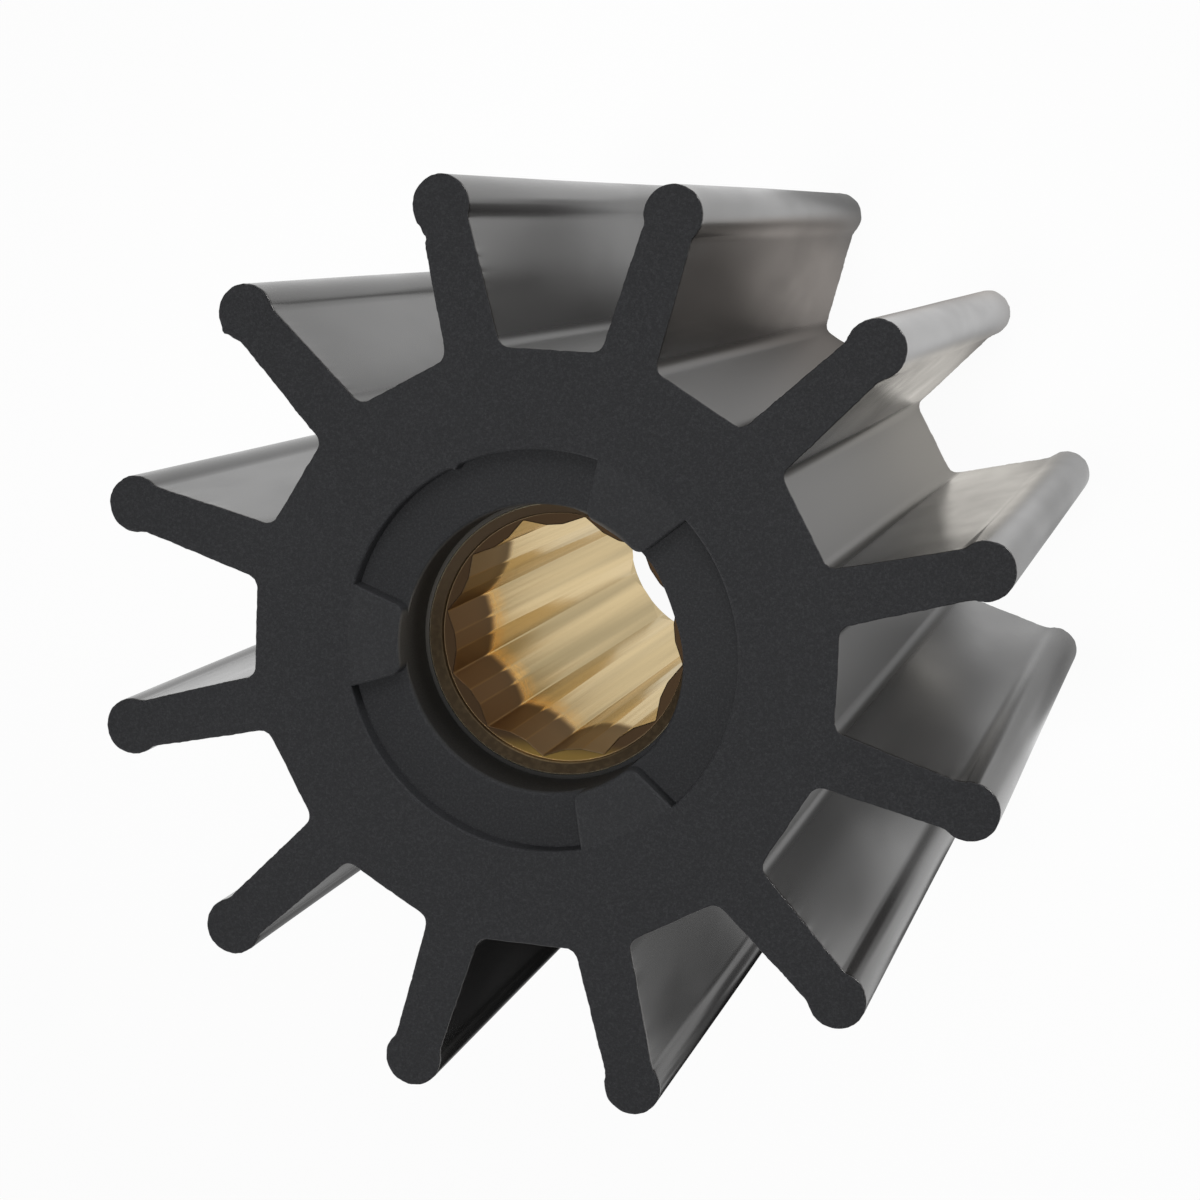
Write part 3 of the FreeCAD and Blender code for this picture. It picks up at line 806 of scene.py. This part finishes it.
def front_end_colour(tree, colour, place, grain):
    """Dull brown over the front end of the insert, apart from its two thin rims, with painted
    light and shade. It gives the colour, and whether a point is on the front end and on its brown
    ring."""
    _, y, height = axis_values(tree, place)
    radius = shaft_distance(tree, place)
    shoulder = INSERT_FRONT - FRONT_COUNTERBORE_DEPTH
    at_front = remap(tree, height, shoulder - SHOULDER_FADE, shoulder, 0.0, 1.0)
    at_bottom = remap(tree, y, BOTTOM_FULL_Y, BOTTOM_END_Y, 1.0, 0.0)

    ring_start = INNER_RIM_RADIUS
    ring_end = INSERT_RADIUS - RIM_ROUND
    off_inner_rim = remap(tree, radius, ring_start, ring_start + RIM_ROUND, 0.0, 1.0)
    off_outer_rim = remap(tree, radius, ring_end, ring_end + 0.5 * RIM_ROUND, 1.0, 0.0)
    on_ring = calc(tree, "MULTIPLY", off_inner_rim, off_outer_rim)
    on_ring = calc(tree, "MULTIPLY", on_ring, at_front)
    worn = remap(tree, grain, 0.4, 0.7, 0.0, 0.35)
    ring_brown = mix_colours(tree, worn, RING_BROWN, RING_WORN)
    # Painted light: the ring is paler towards the top, where the key lamp's shadow falls on it.
    ring_painted_light = remap(tree, y, UPPER_START_Y, RING_PAINTED_LIGHT_Y, 0.0, 0.8)
    ring_brown = mix_colours(tree, ring_painted_light, ring_brown, RING_PAINTED_LIGHT)

    outer = remap(tree, radius, RING_MIDDLE - RIM_ROUND, RING_MIDDLE + RIM_ROUND, 0.0, 1.0)
    # Painted highlight: the inner rim and what lies inside it are brighter at the bottom.
    inner_rim = mix_colours(tree, at_bottom, INNER_RIM_DARK, INNER_RIM_PAINTED_HIGHLIGHT)
    # Painted light: the outer rim is brighter towards the top.
    rim_painted_light = remap(tree, y, UPPER_START_Y, OUTER_RIM_PAINTED_LIGHT_Y, 0.0, 1.0)
    outer_rim = mix_colours(tree, rim_painted_light, OUTER_RIM_DARK, OUTER_RIM_PAINTED_LIGHT)
    rims = mix_colours(tree, outer, inner_rim, outer_rim)
    front = mix_colours(tree, on_ring, rims, ring_brown)
    colour = mix_colours(tree, at_front, colour, front)

    # Painted shade in the narrow step inside the inner rim, with painted light at the bottom.
    well_start = INNER_RIM_RADIUS - RIM_ROUND
    in_well = remap(tree, radius, well_start, INNER_RIM_RADIUS - WELL_FADE, 1.0, 0.0)
    in_well = calc(tree, "MULTIPLY", in_well, at_front)
    well = mix_colours(tree, at_bottom, WELL_PAINTED_SHADE, WELL_PAINTED_LIGHT)
    return mix_colours(tree, in_well, colour, well), at_front, on_ring


def make_brass():
    """Broached brass: gold in the bore, with painted dark brown reflections down its front end on
    one side, and dull brown with painted light and shade on the front end."""
    material, tree, shader = new_material("brass")
    place = own_place(tree)
    lines = stretched_noise(tree, (2600, 2600, 20), 2.0, 0.5)
    grain = stretched_noise(tree, (1500, 1500, 1500), 2.0, 0.5)
    colour, painted_reflection = bore_colour(tree, place, grain)
    colour, at_front, on_ring = front_end_colour(tree, colour, place, grain)
    tree.links.new(colour, shader.inputs["Base Color"])
    polish = remap(tree, lines, 0.3, 0.7, 0.16, 0.24)
    roughness = blend_values(tree, calc(tree, "MAXIMUM", painted_reflection, at_front), polish, 0.5)
    tree.links.new(blend_values(tree, on_ring, roughness, 0.85), shader.inputs["Roughness"])
    tree.links.new(add_bump(tree, lines, 0.003 * MM, 0.5), shader.inputs["Normal"])
    shader.inputs["Metallic"].default_value = 1.0
    shader.inputs["Specular Tint"].default_value = (1.0, 0.92, 0.74, 1)
    return material


# Rubber body

def mark_offset(point):
    """How far the small burrs and nicks move this point of a front edge outwards."""
    return sum(
        height * math.exp(-((point - place).length / width) ** 2)
        for place, height, width in TRIM_MARKS
    )


def trim_offsets(outline, depth, at_front):
    """How far the trimmed edge strays outwards at each point, at this depth below it. Only the
    front edges have burrs and nicks."""
    seed = TRIM_FRONT_SEED if at_front else TRIM_REAR_SEED
    fade = math.exp(-depth / TRIM_RAGGEDNESS_DEPTH)
    offsets = []
    for point in outline:
        coarse_place = (point.x * TRIM_COARSE_NOISE, point.y * TRIM_COARSE_NOISE, seed)
        fine_seed = seed + TRIM_FINE_SEED_STEP
        fine_place = (point.x * TRIM_FINE_NOISE, point.y * TRIM_FINE_NOISE, fine_seed)
        ragged = noise.noise(Vector(coarse_place)) + noise.noise(Vector(fine_place))
        marks = mark_offset(point) if at_front else 0.0
        offsets.append(fade * (TRIM_RAGGEDNESS * ragged + marks))
    return offsets


def wave_offsets(outline, height):
    """The slow unevenness of the moulded sides at this height."""
    places = [
        (point.x * WAVES_ACROSS, point.y * WAVES_ACROSS, height * WAVES_ALONG)
        for point in outline
    ]
    return [SIDE_WAVINESS * noise.noise(Vector(place)) for place in places]


def body_levels():
    """Heights of the rings up the sides, each with its share of the edge's inset. They lie
    closer together towards the ends."""
    low = REAR_FACE + EDGE_ROUND
    high = FRONT_FACE - EDGE_ROUND
    rear = [(REAR_FACE + EDGE_ROUND * depth, inset) for inset, depth in edge_profile()]
    front = [(FRONT_FACE - EDGE_ROUND * depth, inset) for inset, depth in edge_profile()]
    middle = []
    for step in range(1, LENGTH_STEPS):
        share = 0.5 - 0.5 * math.cos(math.pi * step / LENGTH_STEPS)
        middle.append((low + (high - low) * share, 0.0))
    return rear + middle + front[::-1]


def make_body():
    """The rubber body."""
    mesh = bmesh.new()
    outline = body_outline()
    normals = outward_normals(outline)
    ends, sides = 0, 1
    rings = []
    for height, inset in body_levels():
        from_rear = height - REAR_FACE
        from_front = FRONT_FACE - height
        trim = trim_offsets(outline, min(from_front, from_rear), from_front < from_rear)
        wave = wave_offsets(outline, height)
        distances = [stray + slow - EDGE_ROUND * inset for stray, slow in zip(trim, wave)]
        rings.append(ring(mesh, offset_outline(outline, normals, distances), height))
    for place in range(1, len(rings)):
        from_end = min(place, len(rings) - place)
        rubber = ends if from_end <= END_RUBBER_BANDS else sides
        bridge(mesh, rings[place - 1], rings[place], rubber)

    bore_rear = sink_end(mesh, rings[0], REAR_FACE, 1, INSERT_REAR)
    bore_front = sink_end(mesh, rings[-1], FRONT_FACE, -1, INSERT_FRONT)
    bridge(mesh, bore_rear, bore_front, ends)
    materials = [make_end_rubber(), make_side_rubber()]
    return finish_piece(mesh, "rubber_body", materials, "impeller_body")


def sink_end(mesh, outer_ring, face, inwards, seat_end):
    """One end face with its sunk ring and seat, down to the insert. Inwards is 1 at the rear
    and -1 at the front. It gives the ring of vertices at the insert."""
    outline, on_seat = recess_outline()
    normals = outward_normals(outline)
    if inwards < 0:
        marks = [mark_offset(point) for point in outline]
        outline = offset_outline(outline, normals, marks)
    floor = face + inwards * RECESS_DEPTH

    wall_rings = []
    for spread, drop in edge_profile():
        points = offset_outline(outline, normals, RECESS_EDGE_ROUND * spread)
        wall_rings.append(ring(mesh, points, face + inwards * RECESS_EDGE_ROUND * drop))
    fill(mesh, [outer_ring, wall_rings[0]])
    wall = ring(mesh, outline, floor)
    wall_rings.append(wall)
    bridge_rings(mesh, wall_rings)

    rounding = seat_rounding(outline, on_seat)
    seat_edge = [SEAT_RADIUS - seat_lean(heading(point)) for point in outline]
    rim = []
    for vertex, point, marked, share, edge in zip(wall, outline, on_seat, rounding, seat_edge):
        place = point.normalized() * (edge + SEAT_EDGE_ROUND * share)
        rim.append(vertex if marked else mesh.verts.new((place.x, place.y, floor)))
    fill_floor(mesh, wall, rim)

    seat_rings = [rim]
    for spread, drop in edge_profile()[2:]:
        points, heights = [], []
        for point, share, edge in zip(outline, rounding, seat_edge):
            depth = SEAT_EDGE_ROUND * max(share, SEAT_EDGE_LEAST) * drop
            points.append(point.normalized() * (edge + SEAT_EDGE_ROUND * share * spread))
            heights.append(floor + inwards * depth)
        seat_rings.append(ring(mesh, points, heights))
    for radius in (SEAT_RADIUS, INSERT_RADIUS):
        circle = [point.normalized() * radius for point in outline]
        seat_rings.append(ring(mesh, circle, seat_end))
    bridge_rings(mesh, seat_rings)
    return seat_rings[-1]


def seat_rounding(outline, on_seat):
    """How much the edge between the sunk ring and the seat is rounded at each point: none at
    the lands, all of it a little way off them, and less where the seat leans inwards."""
    half_tab = math.pi / TAB_COUNT
    edge = math.asin(TAB_ROOT_WIDTH / 2 / RECESS_RADIUS)
    shares = []
    for point, marked in zip(outline, on_seat):
        angle = abs((heading(point) + half_tab) % (2 * half_tab) - half_tab)
        away = (half_tab - edge - angle) / SEAT_EDGE_RUN_OUT
        sharp = seat_lean(heading(point)) / (SEAT_LEAN + SEAT_LEAN_MORE)
        shares.append(0.0 if marked else max(0.0, min(1.0, away)) * (1 - sharp))
    return shares


def fill_floor(mesh, wall, rim):
    """The floor of the sunk ring: quads between its wall and its inner rim."""
    for place in range(len(wall)):
        corners = [wall[place - 1], wall[place], rim[place], rim[place - 1]]
        unique = list(dict.fromkeys(corners))
        if len(unique) > 2:
            mesh.faces.new(unique)


# Brass insert

def insert_end(mesh, outline, end, inwards, counterbore_depth):
    """Rings from the outer wall over the dished end and the counterbore to the teeth. Inwards
    is 1 at the rear and -1 at the front."""
    def circle(radius, height):
        """A ring of as many vertices as the spline's outline has."""
        return ring(mesh, [point.normalized() * radius for point in outline], height)

    # Swapped, the quarter circle's steps run from the outer wall to the end.
    rings = []
    for depth, inset in edge_profile()[1:]:
        rings.append(circle(INSERT_RADIUS - RIM_ROUND * inset, end + inwards * RIM_ROUND * depth))
    cone_end = end + inwards * END_CONE_DEPTH
    rings.append(circle(COUNTERBORE_RADIUS + RIM_ROUND, cone_end - inwards * INNER_RIM_DROP))
    rings.append(circle(INNER_RIM_RADIUS, cone_end))
    rings.append(circle(COUNTERBORE_RADIUS, cone_end + inwards * RIM_ROUND))
    shoulder = end + inwards * counterbore_depth
    rings.append(circle(COUNTERBORE_RADIUS, shoulder))
    normals = outward_normals(outline)
    for share in TOOTH_END_SHARES:
        points = offset_outline(outline, normals, TOOTH_END_ROUND * share)
        rings.append(ring(mesh, points, shoulder + inwards * TOOTH_END_ROUND * (1 - share)))
    bridge_rings(mesh, rings)
    return rings


def make_insert():
    """The brass insert."""
    mesh = bmesh.new()
    outline = spline_outline()
    front = insert_end(mesh, outline, INSERT_FRONT, -1, FRONT_COUNTERBORE_DEPTH)
    rear = insert_end(mesh, outline, INSERT_REAR, 1, REAR_COUNTERBORE_DEPTH)
    bridge(mesh, front[0], rear[0])
    top, bottom = front[-1][0].co.z, rear[-1][0].co.z
    bore = [front[-1]]
    for step in range(1, BORE_LENGTH_STEPS):
        height = top + (bottom - top) * step / BORE_LENGTH_STEPS
        bore.append(ring(mesh, outline, height))
    bore.append(rear[-1])
    bridge_rings(mesh, bore)
    return finish_piece(mesh, "brass_insert", [make_brass()], "spline_insert")


# Floor, light and camera

def reflected_floor_colour(tree):
    """The floor's colour in reflections, with painted shade and light in soft patches."""
    place = own_place(tree)
    radius = shaft_distance(tree, place)

    def in_patch(middle, full_radius, fade):
        """1 inside a soft round patch, and 0 outside it."""
        away = measure(tree, "DISTANCE", place, middle)
        return remap(tree, away, full_radius, full_radius + fade, 1.0, 0.0)

    bore_edge = FLOOR_BORE_RADIUS + FLOOR_BORE_FADE
    under_bore = remap(tree, radius, FLOOR_BORE_RADIUS, bore_edge, FLOOR_GLOW_BORE, 0.0)
    around = remap(
        tree, radius, FLOOR_BLADES_RADIUS, FLOOR_BLADES_RADIUS + FLOOR_BLADES_FADE,
        FLOOR_GLOW_NEAR, FLOOR_GLOW_FAR,
    )
    for middle, full_radius, fade, patch_level in FLOOR_PATCHES:
        around = blend_values(tree, in_patch(middle, full_radius, fade), around, patch_level)
    level = calc(tree, "MAXIMUM", under_bore, around)
    plain = add_node(tree, "ShaderNodeCombineColor", {0: level, 1: level, 2: level}).outputs[0]
    tinted = in_patch(FLOOR_TINT_PLACE, FLOOR_TINT_RADIUS, FLOOR_TINT_FADE)
    plain = multiply_vectors(tree, plain, mix_colours(tree, tinted, WHITE, FLOOR_TINT))
    warmth = in_patch(FLOOR_WARM_PLACE, FLOOR_WARM_RADIUS, FLOOR_WARM_FADE)
    off_bore = calc(tree, "SUBTRACT", 1.0, under_bore, clamp=True)
    warmth = calc(tree, "MULTIPLY", warmth, off_bore)
    return mix_colours(tree, warmth, plain, FLOOR_WARM_COLOUR)


def make_floor():
    """A floor that is white to the camera, with a very faint shadow. In reflections it has
    darker and warmer patches of painted shade and light."""
    bpy.ops.mesh.primitive_plane_add(size=FLOOR_SIZE, location=(0, 0, REAR_FACE))
    floor = bpy.context.object
    floor.name = "floor"
    material = bpy.data.materials.new("floor_white")
    material.use_nodes = True
    tree = material.node_tree
    tree.nodes.clear()
    camera_ray, mirrored_ray = ray_kinds(tree)
    paint = add_node(tree, "ShaderNodeBsdfDiffuse", {"Color": FLOOR_PAINT})
    shown = mix_colours(tree, camera_ray, reflected_floor_colour(tree), WHITE)
    glow = add_node(tree, "ShaderNodeEmission", {"Color": shown, "Strength": 1.0})
    seen = calc(tree, "MULTIPLY", camera_ray, FLOOR_GLOW_SEEN)
    share = calc(tree, "ADD", seen, mirrored_ray, clamp=True)
    mixed = add_node(
        tree, "ShaderNodeMixShader", {0: share, 1: paint.outputs[0], 2: glow.outputs[0]}
    )
    add_node(tree, "ShaderNodeOutputMaterial", {"Surface": mixed.outputs[0]})
    floor.data.materials.append(material)


def make_world():
    """Surroundings that are white to the camera, and in reflections low down. The light that
    they give is brightest at the horizon."""
    world = bpy.data.worlds.new("studio")
    bpy.context.scene.world = world
    world.use_nodes = True
    tree = world.node_tree
    background = tree.nodes["Background"]
    direction = add_node(tree, "ShaderNodeTexCoord").outputs["Generated"]
    _, _, height = axis_values(tree, direction)
    level = remap(tree, height, 0.0, WORLD_HIGH_FROM, WORLD_LOW_LEVEL, WORLD_HIGH_LEVEL)
    camera_ray, mirrored_ray = ray_kinds(tree)
    low_down = remap(tree, height, WORLD_WHITE_FULL, WORLD_WHITE_END, 1.0, 0.0)
    reflected = calc(tree, "MULTIPLY", mirrored_ray, low_down)
    seen = calc(tree, "MAXIMUM", camera_ray, reflected)
    tree.links.new(calc(tree, "MAXIMUM", level, seen), background.inputs["Strength"])
    background.inputs["Color"].default_value = WHITE


def add_area_light(name, azimuth, elevation, distance, size, power):
    """A soft square lamp that points at the middle of the object."""
    centre = Vector((0, 0, (REAR_FACE + FRONT_FACE) / 2))
    side = polar(math.cos(math.radians(elevation)), math.radians(azimuth))
    back = Vector((side.x, side.y, math.sin(math.radians(elevation))))
    data = bpy.data.lights.new(name, "AREA")
    data.shape = "SQUARE"
    data.size = size
    data.energy = power
    lamp = bpy.data.objects.new(name, data)
    lamp.location = centre + back * distance
    lamp.rotation_mode = "QUATERNION"
    lamp.rotation_quaternion = back.to_track_quat("Z", "Y")
    bpy.context.scene.collection.objects.link(lamp)


def add_spot_light(name, height, reach, size, power):
    """A soft lamp over the front face. On that face it reaches this far from the shaft axis."""
    data = bpy.data.lights.new(name, "SPOT")
    data.spot_size = 2 * math.atan(reach / height)
    data.spot_blend = 0.15
    data.shadow_soft_size = size
    data.energy = power
    lamp = bpy.data.objects.new(name, data)
    lamp.location = (0, 0, FRONT_FACE + height)
    bpy.context.scene.collection.objects.link(lamp)


def make_camera():
    """The camera of the photograph."""
    level = math.cos(VIEW_ELEVATION)
    back = Vector((
        math.sin(VIEW_AZIMUTH) * level, -math.cos(VIEW_AZIMUTH) * level, math.sin(VIEW_ELEVATION)
    ))
    level_right = (-back).cross(Vector((0, 0, 1))).normalized()
    level_up = level_right.cross(-back)
    up = level_up * math.cos(VIEW_ROLL) + level_right * math.sin(VIEW_ROLL)
    right = level_right * math.cos(VIEW_ROLL) - level_up * math.sin(VIEW_ROLL)
    data = bpy.data.cameras.new("camera")
    data.lens = LENS
    data.sensor_width = SENSOR
    data.clip_start = 0.01
    data.clip_end = 50
    camera = bpy.data.objects.new("camera", data)
    axes = Matrix((right, up, back)).transposed()
    camera.matrix_world = Matrix.LocRotScale(VIEW_AIM + back * VIEW_DISTANCE, axes, None)
    bpy.context.scene.collection.objects.link(camera)
    bpy.context.scene.camera = camera


make_camera()
make_body()
make_insert()
make_floor()
make_world()
add_area_light("key", azimuth=82, elevation=50, distance=0.9, size=0.5, power=2.6)
add_area_light("side", azimuth=45, elevation=6, distance=0.9, size=0.25, power=5)
add_area_light("back", azimuth=225, elevation=6, distance=0.9, size=0.25, power=6)
add_spot_light("face", height=0.6, reach=90 * MM, size=0.05, power=6.5)
bpy.context.scene.view_settings.view_transform = "Standard"
